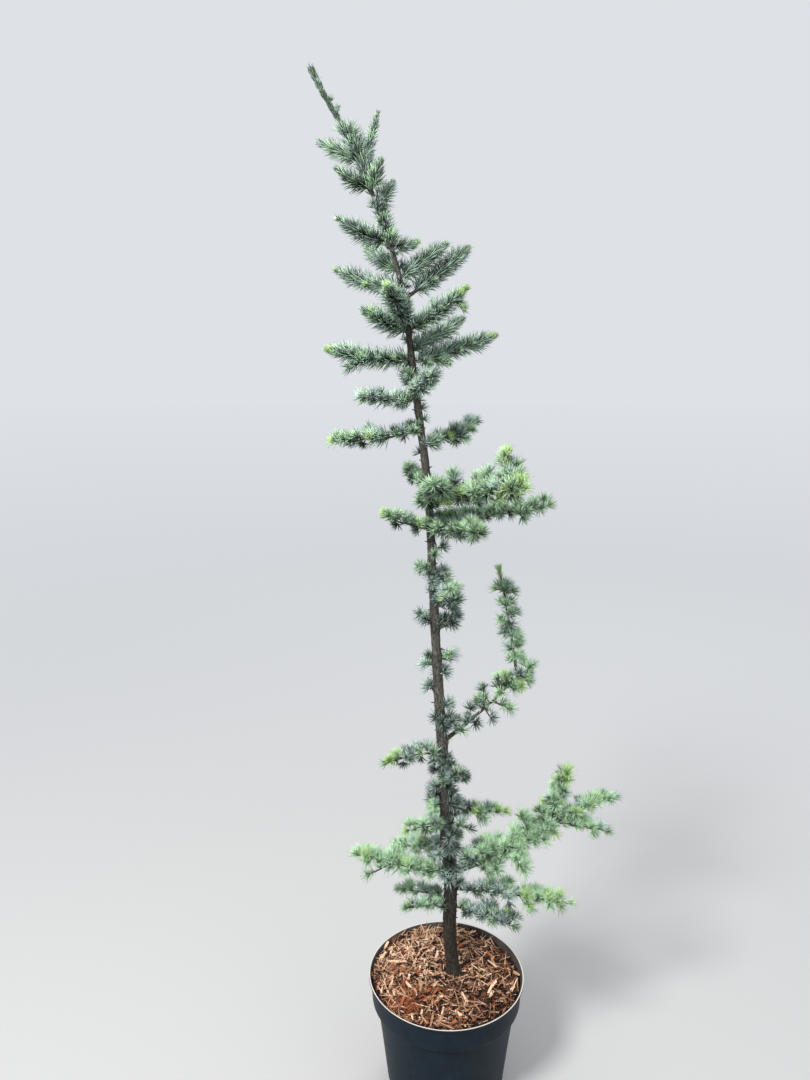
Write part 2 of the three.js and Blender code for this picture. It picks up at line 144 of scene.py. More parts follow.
# Shoots: the share of the limb's length they grow from, heading, reach and rise
SHOOTS = {
    "neck_left": [(0.5, -92, 16, -12)],
    "crown_left_high": [(0.4, -130, 26, -6)],
    "crown_right": [(0.35, -52, 26, -3)],
    "crown_front_left": [(0.5, 107, 22, 20)],
    "crown_front_right": [(0.45, -126, 14, 22), (0.75, -29, 22, -18)],
    "crown_right_long": [(0.4, -30, 30, 2), (0.1, -70, 44, -12), (0.2, -35, 42, -14)],
    "crown_left_long": [(0.5, -139, 46, -20), (0.6, 162, 32, 20)],
    "collar_left": [(0.5, 123, 20, 14)],
    "collar_left_low": [(0.5, 130, 26, 20)],
    "collar_right_back": [(0.5, -37, 34, -6)],
    "middle_front": [
        (0.3, -120, 18, 46), (0.47, -54, 12, 36), (0.68, 100, 26, 36), (0.85, 62, 28, 42),
        (0.4, -30, 30, -16), (0.6, -40, 30, -20), (0.25, 10, 30, 20), (0.5, 30, 30, 16),
        (0.75, -20, 30, -12),
    ],
    "middle_front_inner": [
        (0.5, -61, 44, 14), (0.35, -20, 34, -6), (0.6, -10, 36, -6), (0.8, 10, 30, -8),
    ],
    "middle_right_long": [
        (0.7, -67, 30, -10), (0.15, -40, 30, 12), (0.3, -40, 30, 14), (0.5, -30, 26, 12),
    ],
    "middle_front_low": [
        (0.55, 99, 26, -16), (0.25, -20, 40, 20), (0.45, -30, 36, 22), (0.7, -60, 26, 18),
        (0.6, 20, 34, 12),
    ],
    "spire_arm": [(0.96, -15, 38, 40)],
    "skirt_right": [
        (0.45, 140, 44, 16), (0.55, -67, 54, -21), (0.35, -120, 44, 38), (0.74, -155, 26, 58),
        (0.18, -80, 34, 34), (0.26, 60, 34, 24), (0.5, -100, 26, 30), (0.62, 100, 26, 26),
        (0.42, 80, 16, 36), (0.5, -60, 16, 34), (0.58, 60, 14, 34), (0.3, -30, 20, 38),
        (0.66, -60, 14, 30), (0.12, -50, 22, 42), (0.2, 30, 20, 46), (0.8, 150, 26, 32),
        (0.6, -70, 30, -4), (0.72, -60, 28, 6), (0.86, -90, 20, 12), (0.9, 100, 22, 14),
        (0.35, -60, 34, -14), (0.5, -40, 34, -22), (0.25, -40, 30, -16), (0.8, -50, 24, -6),
        (0.92, -60, 20, -8), (0.15, 10, 26, 34),
    ],
    "skirt_tip": [(0.25, -70, 20, 14), (0.35, 80, 20, 14), (0.5, -60, 16, 10)],
    "skirt_drooping": [(0.3, -80, 20, 10), (0.5, 70, 18, 10)],
    "skirt_upturned": [
        (0.35, -139, 26, 30), (0.3, 175, 22, 22), (0.55, 170, 18, 20), (0.5, -20, 16, 16),
        (0.12, -175, 28, 28), (0.72, 175, 13, 14), (0.2, 150, 24, 14),
    ],
    "skirt_right_low": [
        (0.45, 88, 40, 3), (0.6, 26, 46, -14), (0.25, -70, 34, 20), (0.38, -60, 32, 10),
        (0.45, -80, 30, -12), (0.55, -50, 30, -14), (0.3, 60, 26, 24), (0.75, -60, 26, -6),
        (0.6, -60, 26, -18), (0.82, -30, 22, -14), (0.15, -60, 26, 4),
    ],
    "skirt_front_low": [
        (0.5, 54, 38, 0), (0.3, -90, 26, 14), (0.6, -80, 24, 6), (0.7, 40, 32, 8), (0.85, 30, 28, 8),
        (0.45, 20, 34, 16),
    ],
    "waist_front_low": [(0.3, -10, 30, 4), (0.5, -110, 24, 14)],
    "waist_front_high": [(0.3, -10, 26, -16), (0.5, -100, 20, 14)],
    "skirt_left": [
        (0.5, 121, 35, 22), (0.4, -105, 32, 8), (0.6, -150, 56, -8), (0.35, -150, 24, 26),
        (0.55, 170, 16, 26), (0.8, 120, 22, 10), (0.8, -120, 22, 2),
    ],
    "skirt_left_high": [(0.4, -120, 26, 14), (0.5, 120, 24, 16)],
    "waist_left": [(0.4, 120, 18, 14), (0.6, -100, 16, 8)],
    "waist_right": [(0.35, -60, 24, 8), (0.5, -50, 26, -12), (0.4, -30, 26, -18)],
}

# Pompoms of needles on spurs of the trunk: height, heading and how far they stand from the axis
TRUNK_TUFTS = [
    (1114, 250, 12), (1069, 0, 20), (1058, -70, 9), (1035, 215, 14), (1033, 185, 21), (1023, -110, 16),
    (1023, 20, 19), (1017, -40, 14), (1011, -92, 16), (1003, -45, 28), (998, -60, 60), (993, -92, 16),
    (989, -10, 42), (978, -60, 33), (965, -20, 29), (944, 175, 25), (942, 215, 20), (940, -20, 17),
    (936, 0, 41), (935, -40, 39), (866, 160, 14), (866, 5, 29), (857, 190, 21), (843, 30, 12),
    (842, -40, 16), (815, 190, 14), (783, 0, 15), (780, -40, 13), (758, -120, 13), (751, -80, 16),
    (749, 20, 17), (746, -15, 21), (737, -60, 13), (682, -70, 17), (669, -95, 17), (664, -50, 16),
    (646, -100, 17), (645, -45, 17), (628, -70, 17), (609, -40, 16), (607, 200, 18), (588, -50, 16),
    (588, 185, 27), (588, -20, 23), (587, 215, 27), (555, 10, 18), (547, 180, 30), (547, 205, 24),
    (538, -60, 17), (524, -80, 18), (523, -10, 19), (518, -20, 17), (508, 200, 20), (500, -100, 17),
    (499, -40, 17), (495, -75, 18), (490, -120, 32), (487, 175, 32), (472, 190, 28), (471, -80, 18),
    (450, -50, 17), (438, 225, 20), (432, -100, 18), (424, -30, 18), (575, 95, 18), (520, 80, 20),
    (480, 60, 22), (640, 110, 17), (700, 80, 15), (830, 90, 16), (930, 110, 16), (985, 80, 18),
    (672, 205, 18), (652, 195, 18), (622, 195, 20), (606, 178, 22), (866, 20, 20), (808, 175, 18),
    (1030, 175, 16), (1012, 10, 24), (925, -15, 30),
]
PALE_TUFTS = [(998, -60), (989, -10), (866, 5), (857, 190)]
PALE_TUFT_BLOOM = 0.74

# Limbs whose pompoms stand apart, each on its own spur: the share of the limb, heading, reach and rise
LONE_TUFTS = {
    "spire_arm": [
        (0.17, 60, 8, 16), (0.2, -60, 12, 4), (0.3, -70, 8, 10), (0.36, 80, 6, 18), (0.4, -80, 14, -4),
        (0.5, 0, 4, 10), (0.52, 170, 6, 16), (0.55, -40, 14, -14), (0.62, 150, 14, 24), (0.6, 160, 8, 10),
        (0.66, -20, 29, -10), (0.66, -28, 20, -4), (0.74, 100, 8, 12), (0.8, 165, 8, 24),
        (0.82, -80, 10, 14), (0.78, -100, 12, 4), (0.9, 175, 10, 16), (0.88, -60, 12, 0),
        (0.96, -40, 12, -6), (1.0, -10, 18, -4), (0.97, -5, 14, 6), (0.93, 90, 10, 8),
    ],
    "spire": [
        (0.17, -20, 6, 4), (0.15, 200, 4, 3), (0.27, 10, 9, 10), (0.25, 180, 7, 3), (0.22, -80, 6, -2),
        (0.25, 80, 7, 4), (0.28, -50, 7, 6), (0.38, 175, 11, 5), (0.38, 0, 9, 4), (0.36, 95, 6, 4),
        (0.37, -70, 5, 3), (0.55, 0, 12, 6), (0.52, 185, 11, 0), (0.5, -85, 6, -3), (0.5, -130, 8, -2),
        (0.53, 80, 8, 4), (0.56, -40, 6, 4), (0.65, 180, 5, 4), (0.65, 0, 5, 4), (0.64, -90, 4, 2),
        (0.77, 175, 10, 4), (0.77, -90, 6, 3), (0.75, 0, 14, 3), (0.78, 60, 8, 6), (0.79, -150, 5, 6),
        (0.8, -30, 5, 5),
    ],
}

# How many of the sprays at a limb's tips are fresh, where that isn't ordinary
FRESH = {
    "skirt_upturned": 0.6, "skirt_tip": 0.55, "skirt_right_low": 0.65, "waist_left": 0.6,
    "waist_right": 0.5, "skirt_left": 0.7, "spire_arm": 0.4, "middle_front": 0.45,
    "middle_front_low": 0.25, "crown_front": 0.5, "crown_right_high": 0.5, "crown_right": 0.5,
    "crown_front_right": 0.6, "crown_right_long": 0.5, "crown_left_long": 0.5, "crown_left_high": 0.5,
    "middle_upturned": 0.7, "skirt_drooping": 0.35, "spire": 0.8,
}
ORDINARY_FRESH = 0.2

# How close the sprays of a limb stand, and how long its needles are, where that isn't ordinary
FULLNESS = {
    "crown_front": 1.2, "crown_front_left": 1.2, "tip_right": 0.6, "tip_left": 0.8, "skirt_tip": 1.25,
    "skirt_upturned": 1.25, "skirt_right": 1.15,
}
SHORT_NEEDLES = {"tip_right": 14.0}

# Tints of the needles from the darkest, painted shade, to the palest, partly waxy bloom and partly painted
# glints: green ones for the ends of the limbs, bluer ones for the crown and near the trunk, and fresh ones
# for young tips
TINTS = [
    ("deep_green", (0.050, 0.086, 0.048)),
    ("green", (0.147, 0.228, 0.141)),
    ("grey_green", (0.262, 0.400, 0.250)),
    ("pale_green", (0.375, 0.570, 0.358)),
    ("bloom_and_glint_green", (0.480, 0.710, 0.455)),
    ("deep_blue", (0.043, 0.068, 0.052)),
    ("blue_green", (0.133, 0.180, 0.158)),
    ("blue_grey", (0.234, 0.312, 0.276)),
    ("pale_blue", (0.346, 0.460, 0.408)),
    ("bloom_and_glint_blue", (0.478, 0.628, 0.560)),
    ("fresh", (0.355, 0.545, 0.180)),
    ("fresh_pale", (0.465, 0.650, 0.325)),
]
FIRST_BLUE = 5
FIRST_FRESH = 10

# The bloom of a spray says which tint it has: 0 in the shade, 1 at its palest, YOUNG and more when young
YOUNG = 2.0
BLOOM_STEPS = [0.22, 0.40, 0.58, 0.78]
# Bloom by height: palest on the lower limbs, darker in the backlit crown as painted shade, partly the
# needles' own bloom
BLOOM_AND_SHADE_BY_HEIGHT = (
    (300, 500, 620, 1000, 1120, 1350, 1480, 1800),
    (0.75, 0.75, 0.62, 0.53, 0.51, 0.53, 0.46, 0.40),
)

# A spray: its needles open between two angles, a bare one has no spur, and lift turns the needles up
Spray = namedtuple("Spray", "foot axis needles length opening bloom bare lift")
NEEDLE_RADIUS = 0.70
NEEDLE_BEND = 0.08
NEEDLES_PAST_TIP = 10
NEEDLES_IN_A_PIECE = 19000

# Radius and height along the pot's outside and inside
POT_OUTSIDE = [
    (0, 2.5), (60, 2.5), (62, 2.2), (66, 0.3), (68, 0), (102, 0), (106, 0.5), (109.5, 2.2), (112, 5.5),
    (113.4, 10), (114.2, 14), (120, 64), (126, 114), (133.6, 172), (134.6, 176.2), (136, 178.2),
    (138.5, 179.2), (141.6, 179.6), (142.9, 180.4), (143.4, 182.5), (144.2, 196), (145.2, 212),
    (145.9, 221.5), (146.6, 223.7), (148, 224.6), (149.2, 225.2), (149.9, 226.3), (149.9, 228.6),
    (149.5, 229.7), (148.8, 230),
]
POT_INSIDE = [
    (147.9, 229.7), (147.3, 228.8), (146.4, 226), (144.4, 222), (142.6, 204), (141.2, 184),
    (139.6, 181.4), (133.4, 180), (131.8, 176), (124.3, 118), (112.1, 14), (108, 6), (104, 4.4), (0, 4.4),
]
DRAIN_SLOTS = 8
POT_STEPS = 160

# Colours of the loose mulch: name, colour, share of the pieces and how high they lie. The near-black dark
# pieces lie lowest, partly dark bark and partly painted shade in the gaps under the paler pieces
MULCH = [
    ("pale", (0.740, 0.500, 0.345), 0.13, 2.2),
    ("tan", (0.400, 0.222, 0.128), 0.18, 1.6),
    ("orange", (0.300, 0.092, 0.036), 0.07, 1.0),
    ("red_brown", (0.120, 0.038, 0.018), 0.16, -0.8),
    ("brown", (0.085, 0.040, 0.024), 0.18, -0.8),
    ("dark", (0.009, 0.004, 0.002), 0.28, -1.0),
]
MULCH_STRANDS = 4600
MULCH_CHIPS = 1300

STUDIO_COLOUR = (0.86, 0.89, 0.93)
STUDIO_LIGHT = 0.85

# The photograph's frame is 1080 pixels high, and its focal length is 811 of them
SENSOR = 36
FRAME_PIXELS = 1080
FOCAL_PIXELS = 811
CAMERA_PLACE = (-0.080, -1.396, 1.347)
CAMERA_DIP = 10.683


# Shapes along a curve


def trunk_at(height):
    """Points of the trunk's axis at these heights, on a smooth curve through the listed ones."""
    height = np.atleast_1d(height)
    places = np.array([row[0] for row in TRUNK], float)
    values = np.array([row[1:3] for row in TRUNK], float)
    slopes = np.gradient(values, places, axis=0)
    i = np.clip(np.searchsorted(places, height) - 1, 0, len(places) - 2)
    gap = (places[i + 1] - places[i])[:, None]
    t = np.clip((height - places[i])[:, None] / gap, 0, 1)
    level = values[i] * (2 * t**3 - 3 * t**2 + 1) + values[i + 1] * (3 * t**2 - 2 * t**3)
    leaning = slopes[i] * (t**3 - 2 * t**2 + t) + slopes[i + 1] * (t**3 - t**2)
    return np.column_stack([level + gap * leaning, height])


def trunk_radius(height):
    """The trunk's radius at these heights, its flare above the mulch included."""
    radius = np.interp(height, [row[0] for row in TRUNK], [row[3] for row in TRUNK])
    return radius + FLARE * np.maximum(0, 1 - (np.asarray(height) - GROUND) / FLARE_HEIGHT) ** 2


def unit(vectors):
    vectors = np.asarray(vectors, float)
    return vectors / np.maximum(1e-9, np.linalg.norm(vectors, axis=-1, keepdims=True))


def compass(heading, rise=0.0):
    """A direction from its heading in degrees, with this rise for each unit of run."""
    a = math.radians(heading)
    return unit([math.cos(a), math.sin(a), rise])


def any_way(rng, low, high):
    """A direction of any heading, with a rise between these."""
    return compass(rng.uniform(0, 360), rng.uniform(low, high))


def arched(start, heading, reach, rise, bow, step=3.5):
    """A limb's line from its start, its middle raised over its chord by bow."""
    a = math.radians(heading)
    run = np.array([reach * math.cos(a), reach * math.sin(a), rise])
    middle = start + run / 2 + UP * 2 * bow
    rows = max(5, int(np.linalg.norm(run) / step) + 1)
    t = np.linspace(0, 1, rows)[:, None]
    return (1 - t) ** 2 * start + 2 * t * (1 - t) * middle + t**2 * (start + run)


def wander(line, size, rng):
    """Lets a line stray a little from its curve, and keeps both its ends."""
    t = np.linspace(0, 1, len(line))[:, None]
    stray = np.zeros_like(line)
    for waves in (1.5, 3.2, 5.5):
        stray += np.sin(waves * 2 * math.pi * t + rng.uniform(0, 6.3, 3)) * rng.uniform(0.3, 1, 3) / waves
    return line + stray * size * np.sin(math.pi * t) ** 0.6


def lengths(line):
    """How far along a line each of its points is."""
    return np.concatenate([[0], np.cumsum(np.linalg.norm(np.diff(line, axis=0), axis=1))])


def points_along(line, at):
    """The points at these distances along a line."""
    far = lengths(line)
    return np.column_stack([np.interp(at, far, line[:, k]) for k in range(3)])


def point_on(line, at):
    """The point and the direction of a line at a distance along it."""
    point, ahead, behind = points_along(line, [at, at + 2, at - 2])
    return point, unit(ahead - behind)


def shortened(line, cut):
    """The line without its last stretch, which only the needles of its tip reach."""
    total = lengths(line)[-1]
    return points_along(line, np.linspace(0, max(total - cut, total * 0.5), len(line)))


# Branching rule: limbs carry shoots and side twigs, and all of them carry sprays of needles


# Each twig's line, radii and level
twigs = []
sprays = []


def grow_spray(foot, axis, needles, length, opening, bloom, bare=False, lift=0.1):
    sprays.append(Spray(foot, unit(axis), int(needles), length, opening, bloom, bare, lift))


def grow_spur(start, way, reach, rows, foot, tip):
    """The wood of a spur, from this many rows of points, with its radius at foot and tip."""
    twigs.append((start + way * np.linspace(0, reach, rows)[:, None], np.linspace(foot, tip, rows), SHOOT))


def from_trunk(points):
    """How far points stand from the trunk's axis."""
    return np.hypot(*(points - trunk_at(points[:, 2]))[:, :2].T)


def sheltered(points):
    """How sheltered foliage is, from 0 to 1: most close to the lower trunk and at its right."""
    height = points[:, 2]
    further = np.interp(height, [390, 430, 450, 540, 600], [65, 0, -25, -25, 0])
    near = np.interp(from_trunk(points) - further, [50, 105], [1, 0])
    right = np.interp(points[:, 0] - trunk_at(height)[:, 0], [-60, 0], [0.2, 1])
    return near * right * np.interp(height, [1000, 1100, 1180, 1300], [1, 0.35, 0.35, 0])


def bloom_and_shade_at(point):
    """The bloom of a place, with painted shade in it: palest low down, darker in the crown, darker as
    painted shade in shelter near the lower trunk, and low at the far left.
    """
    base = np.interp(point[2], *BLOOM_AND_SHADE_BY_HEIGHT)
    low = np.interp(point[2], [450, 1000], [0.36, 0.14])
    left = np.interp(point[0], [-240, -70], [0.07, 0]) * np.interp(point[2], [600, 900], [1, 0])
    # Painted shade: foliage sheltered close to the lower trunk is darkened
    return float(base - left - low * sheltered(np.array([point]))[0])


def tint_at(point, to_tip, fresh, rng):
    """The tint of a spray: young at the ends of some limbs, or else about that of its place."""
    if rng.random() < fresh * np.clip(1.2 - to_tip / (18 + 22 * fresh), 0, 1):
        return YOUNG + rng.random()
    return bloom_and_shade_at(point) + rng.normal(0, 0.19)


def grow_brush(point, along, to_tip, needle, tint, level):
    """One row of a close brush, whose needles lean forward and get shorter towards the tip."""
    opened = float(np.interp(to_tip, [0, 15, 42], [16, 40, 74]))
    length = needle * float(np.interp(to_tip, [0, 34], [0.66, 1.2]))
    count = 14 if level == LIMB else 10
    grow_spray(point, along + UP * 0.1, count, length, (opened * 0.4, opened), tint, True, 0.2)


def grow_pompom(point, along, turn, needle, tint, rng):
    """One pompom on its spur. Fewer and smaller ones grow under a twig, with a tint darkened there as
    painted shade.
    """
    level_share = math.sqrt(max(0.0, 1 - along[2] ** 2))
    side = unit(np.cross(along, UP)) if level_share > 0.1 else np.array([1.0, 0, 0])
    out = math.cos(turn) * np.cross(side, along) + math.sin(turn) * side
    under = -math.cos(turn) * level_share
    if under >= 0.25 and rng.random() >= np.interp(point[2], [500, 1300], [0.25, 0.7]):
        return
    axis = out + UP * (0.4 * level_share) + along * 0.35 * rng.uniform(0.4, 1.5)
    length = needle * rng.uniform(0.88, 1.08) * (0.75 if under > 0.25 else 1)
    foot = point + unit(axis) * rng.uniform(2, 8)
    # Painted shade and light: pompoms under the twig get a darker tint, those over it a paler one
    tint = tint - 0.2 * under - 0.15 * max(0, under)
    grow_spray(foot, axis, rng.uniform(38, 50), length, (6, 74), tint, lift=0.3)


def grow_needles(line, rng, bare, full, fresh, needle, level):
    """Deals needles out along a twig: mostly a close brush in the crown, and pompoms lower down."""
    total = lengths(line)[-1]
    far = bare + rng.uniform(0, 3)
    turn = rng.uniform(0, FULL_TURN)
    while far < total - 4:
        point, along = point_on(line, far)
        tint = tint_at(point, total - far, fresh, rng)
        if rng.random() < np.interp(point[2], [1180, 1400], [0.1, 1.0]):
            grow_brush(point, along, total - far, needle, tint, level)
            far += 2.2 / full
        else:
            turn += GOLDEN_TURN + rng.uniform(-0.5, 0.5)
            grow_pompom(point, along, turn, needle, tint, rng)
            far += rng.uniform(7.0, 9.5) / full
    grow_tip(line, rng, fresh, needle, level)


def grow_tip(line, rng, fresh, needle, level):
    """The young end of a twig: needles along it that lean forward, and a tuft round its bud."""
    total = lengths(line)[-1]
    young = min(total * 0.4, 26 if level == LIMB else 14)
    slim = line[-1][2] > SLIM_TIPS_FROM
    opening = (10, 40) if slim else (32, 62)
    for far in np.arange(total - young, total, 1.5):
        point, along = point_on(line, far)
        tint = tint_at(point, total - far, fresh, rng)
        grow_spray(point, along, 2, needle * rng.uniform(0.6, 0.85), opening, tint, True)
    point, along = point_on(line, total)
    tint = tint_at(point, 0, fresh, rng)
    if slim:
        grow_spray(point, along + UP * 0.1, rng.uniform(12, 16), needle * 0.58, (4, 36), tint, True)
    else:
        grow_spray(point, along + UP * 0.2, rng.uniform(24, 30), needle * 0.85, (4, 60), tint, True)


def grow_lone_tufts(line, rows, rng, fresh, needle):
    """Pompoms that stand apart, with small tufts on their spurs."""
    total = lengths(line)[-1]
    for share, heading, reach, rise in rows:
        start = point_on(line, total * share)[0]
        way = compass(heading) * reach + UP * rise
        grow_spur(start, way, 1, 4, 1.5, 1.1)
        tint = tint_at(start, total * (1 - share), fresh, rng)
        count = rng.uniform(34, 42)
        grow_spray(start + way, unit(way) + UP * 0.3, count, needle * rng.uniform(0.9, 1.1), (4, 78), tint)
        for along in (0.45, 0.8):
            axis = unit(way) * 0.4 + any_way(rng, -0.3, 1.0)
            foot = start + way * along + axis * 3
            grow_spray(foot, axis, 14, needle * rng.uniform(0.65, 0.85), (4, 70), tint)
    grow_lone_tip(line, total, fresh > 0.5, needle)


def grow_lone_tip(line, total, young, needle):
    """The slim tip of a limb whose pompoms stand apart."""
    for far in np.arange(total * 0.88, total - 8, 1.5):
        point, along = point_on(line, far)
        tint = YOUNG + 0.7 if young else bloom_and_shade_at(point)
        grow_spray(point, along, 4, needle * 0.72, (14, 48), tint, True)
    end, along = point_on(line, total - 10)
    grow_spray(end, along, 30, needle * 0.7, (4, 50), YOUNG + 0.8 if young else 0.8, True)


def grow_twig(line, rng, foot, tip, bare, full, fresh, needle, level, girth=0):
    """A twig from its line: its wood, its needles and, on a limb, its side twigs."""
    stray = 1.6 if level == LIMB else 0.8
    line = shortened(wander(line, stray, rng), 2 if level == SIDE_TWIG else NEEDLES_PAST_TIP)
    total = lengths(line)[-1]
    radii = tip + (foot - tip) * (1 - lengths(line) / total) ** 0.85
    twigs.append((line, radii, level))
    grow_needles(line, rng, bare, full, fresh, needle, level)
    far = bare + 4
    side = rng.choice([-1, 1])
    while level == LIMB and far < total - 14:
        point, along = point_on(line, far)
        crown = float(np.interp(point[2], [1250, 1420], [0, 1]))
        sideways = unit(np.cross(along, UP)) if abs(along[2]) < 0.95 else compass(rng.uniform(0, 360))
        reach = min(girth * rng.uniform(0.45, 1.0), (total - far) * (0.6 - 0.1 * crown))
        way = unit(along * (rng.uniform(0.4, 0.9) + crown) + sideways * side + UP * rng.uniform(-0.3, 0.8))
        side_line = point + way * np.linspace(0, reach, 5)[:, None]
        grow_twig(side_line, rng, 1.0, 0.6, 3, full, fresh * 0.25, needle * 0.92, SIDE_TWIG)
        side = -side
        far += rng.uniform(10, 18) / full


def limb_foot(start, lines):
    """Where a limb grows from, how far it stays bare there, and its height."""
    if isinstance(start, tuple):
        parent = lines[start[0]]
        point = point_on(parent, lengths(parent)[-1] * start[1])[0]
        return point, 3.0, point[2]
    return trunk_at(start)[0], trunk_radius(start) + 2, start


def grow_limb(row, lines, rng):
    """One listed limb with its listed shoots."""
    name, start, heading, reach, rise, bow, girth = row
    foot_point, bare, height = limb_foot(start, lines)
    foot = 1.3 + math.hypot(reach, rise) * 0.008
    if name in BARE_WOOD:
        bare, foot = BARE_WOOD[name][0], BARE_WOOD[name][1] * 1.2
    full = FULLNESS.get(name, 1.0)
    fresh = FRESH.get(name, ORDINARY_FRESH) * (0.85 if height > CROWN_FROM else 1)
    needle = 15.5 + 0.38 * girth if height < TOP_SHOOTS_FROM else 22.0
    needle = SHORT_NEEDLES.get(name, needle)
    line = arched(foot_point, heading, reach, rise, bow)
    lines[name] = line
    if name in LONE_TUFTS:
        twigs.append((shortened(line, 6), np.linspace(foot, 1.1, len(line)), LIMB))
        grow_lone_tufts(line, LONE_TUFTS[name], rng, fresh, 20.5)
    else:
        grow_twig(line, rng, foot, 0.9, bare, full, fresh, needle, LIMB, girth)
    for share, *shoot in SHOOTS.get(name, []):
        start_point = point_on(line, lengths(line)[-1] * share)[0]
        shoot_line = arched(start_point, *shoot, 0, 3)
        grow_twig(shoot_line, rng, 1.5, 0.7, 4, max(full, 0.8), fresh * 0.4, needle, SHOOT)


def grow_limbs():
    """All the limbs, each from a seed of its own. Gives back their lines."""
    lines = {}
    for index, row in enumerate(LIMBS):
        grow_limb(row, lines, np.random.default_rng([11, index]))
    return lines


def grow_stem_foliage():
    """Sprays straight on the trunk, from the leader down through the crown."""
    rng = np.random.default_rng(23)
    turn = grow_below_leader(rng)
    grow_leader(rng, turn)
    height = 1230.0
    while height < 1560:
        axis = any_way(rng, 0.3, 0.8)
        reach = trunk_radius(height) + 2
        point = trunk_at(height)[0]
        bloom = bloom_and_shade_at(point) + rng.normal(-0.05, 0.15)
        grow_spray(point + axis * reach, axis, 24, rng.uniform(13, 18), (12, 72), bloom)
        height += rng.uniform(8, 20)


def grow_below_leader(rng):
    """Thick foliage between the crown and the leader, thinner in one gap. Gives back its last turn."""
    turn = 0.0
    height = 1566.0
    while height < LEADER_FOOT + 2:
        point = trunk_at(height)[0]
        turn += GOLDEN_TURN
        axis = compass(math.degrees(turn), rng.uniform(0.25, 0.8))
        bloom = bloom_and_shade_at(point) + rng.normal(0, 0.15)
        reach = trunk_radius(height) + rng.uniform(0.5, 2)
        length = rng.uniform(23, 30) if height > 1666 else rng.uniform(16, 20)
        grow_spray(point + axis * reach, axis + UP * 0.7, 17, length, (6, 46), bloom)
        height += 7 if 1636 < height < 1666 else 2.2
    return turn


def grow_leader(rng, turn):
    """The leader: needles that lie close along it, a tuft at its tip and a few small buds."""
    heights = np.arange(LEADER_FOOT, TREE_TOP - 13, 0.4)
    for height, point in zip(heights, trunk_at(heights)):
        turn += GOLDEN_TURN
        out = compass(math.degrees(turn))
        spread = float(np.interp(height, [LEADER_FOOT, 1790, 1815], [0.17, 0.18, 0.34]))
        axis = unit(np.array([-0.53, 0, 0.85]) + spread * out)
        foot = point + (trunk_radius(height) - 0.3) * out
        grow_spray(foot, axis, 3, rng.uniform(14, 19), (0, 10), rng.normal(0.02, 0.13), True)
    grow_spray(trunk_at(TREE_TOP - 11)[0], [-0.5, 0, 0.86], 40, 10.5, (2, 30), 0.42, True)
    for height, heading in [(1801, 180), (1813, 250), (1776, 5), (1762, 170), (1790, 60), (1770, -80)]:
        axis = compass(heading, 1.1)
        grow_spray(trunk_at(height)[0] + axis * 3, axis + UP * 0.6, 16, 14, (4, 34), 0.4)


def grow_trunk_tufts():
    """The small spurs on the trunk: bare ones at random, and the listed ones with their tufts."""
    rng = np.random.default_rng(31)
    for height in np.concatenate([rng.uniform(250, 720, 90), rng.uniform(720, 1450, 60)]):
        way = any_way(rng, -0.2, 0.9)
        reach = trunk_radius(height) + rng.uniform(1.5, 9) * rng.uniform(0.4, 1.3)
        grow_spur(trunk_at(height)[0], way, reach, 4, 1.9, 0.8)
    for height, heading, reach in TRUNK_TUFTS:
        grow_trunk_tuft(height, heading, reach, rng)


def grow_trunk_tuft(height, heading, reach, rng):
    """One listed spur, with a pompom at its end and smaller tufts along it."""
    way = compass(heading + rng.uniform(-6, 6), rng.uniform(0.2, 0.45))
    start = trunk_at(height - 4)[0]
    out = trunk_radius(height)
    reach = max(reach, out + 4)
    end = start + way * reach
    grow_spur(start, way, reach, 5, 1.8, 1.2)
    tint = PALE_TUFT_BLOOM if (height, heading) in PALE_TUFTS else bloom_and_shade_at(end) + rng.normal(0, 0.17)
    grow_spray(end, way, rng.uniform(40, 50), rng.uniform(18, 22), (4, 82), tint)
    for far in np.linspace(out + 3, reach - 2, 1 + int((reach - out) / 8)):
        axis = way * 0.7 + any_way(rng, -0.3, 0.9)
        grow_spray(start + way * far, axis, 22, rng.uniform(15, 19), (4, 70), tint)


# Meshes


def in_scene(name, data):
    """A new object in the scene."""
    made = bpy.data.objects.new(name, data)
    bpy.context.scene.collection.objects.link(made)
    return made


def placed(name, mesh, material, stands_for):
    """Puts a mesh into the scene as a piece of the plant."""
    piece = in_scene(name, mesh)
    mesh.materials.append(material)
    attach(piece, "root")
    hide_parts(*stands_for)


def mesh_piece(name, points, faces, material, slot, stands_for, smooth_faces=True):
    """A piece from arrays of points in millimetres and of triangles."""
    mesh = bpy.data.meshes.new(name)
    mesh.vertices.add(len(points))
    mesh.vertices.foreach_set("co", (np.asarray(points) * MM).astype(np.float32).ravel())
    mesh.loops.add(faces.size)
    mesh.loops.foreach_set("vertex_index", faces.astype(np.int32).ravel())
    mesh.polygons.add(len(faces))
    mesh.polygons.foreach_set("loop_start", np.arange(0, faces.size, 3, dtype=np.int32))
    mesh.polygons.foreach_set("loop_total", np.full(len(faces), 3, dtype=np.int32))
    mesh.polygons.foreach_set("use_smooth", np.full(len(faces), smooth_faces))
    mesh.update(calc_edges=True)
    mesh.validate()
    placed(name, mesh, material, stands_for)


def mesh_from(name, bm):
    """A mesh from mesh code, in metres."""
    mesh = bpy.data.meshes.new(name)
    bm.to_mesh(mesh)
    bm.free()
    return mesh


def smooth_piece(name, bm, material, stands_for):
    """A smoothly shaded piece from mesh code. Gives back its mesh."""
    mesh = mesh_from(name, bm)
    mesh.shade_smooth()
    placed(name, mesh, material, stands_for)
    return mesh


def shape_of(bm):
    """The points and triangles of a small shape, which is then repeated."""
    bmesh.ops.triangulate(bm, faces=bm.faces)
    bmesh.ops.recalc_face_normals(bm, faces=bm.faces)
    bm.verts.index_update()
    points = np.array([v.co[:] for v in bm.verts])
    faces = np.array([[v.index for v in f.verts] for f in bm.faces])
    bm.free()
    return points, faces


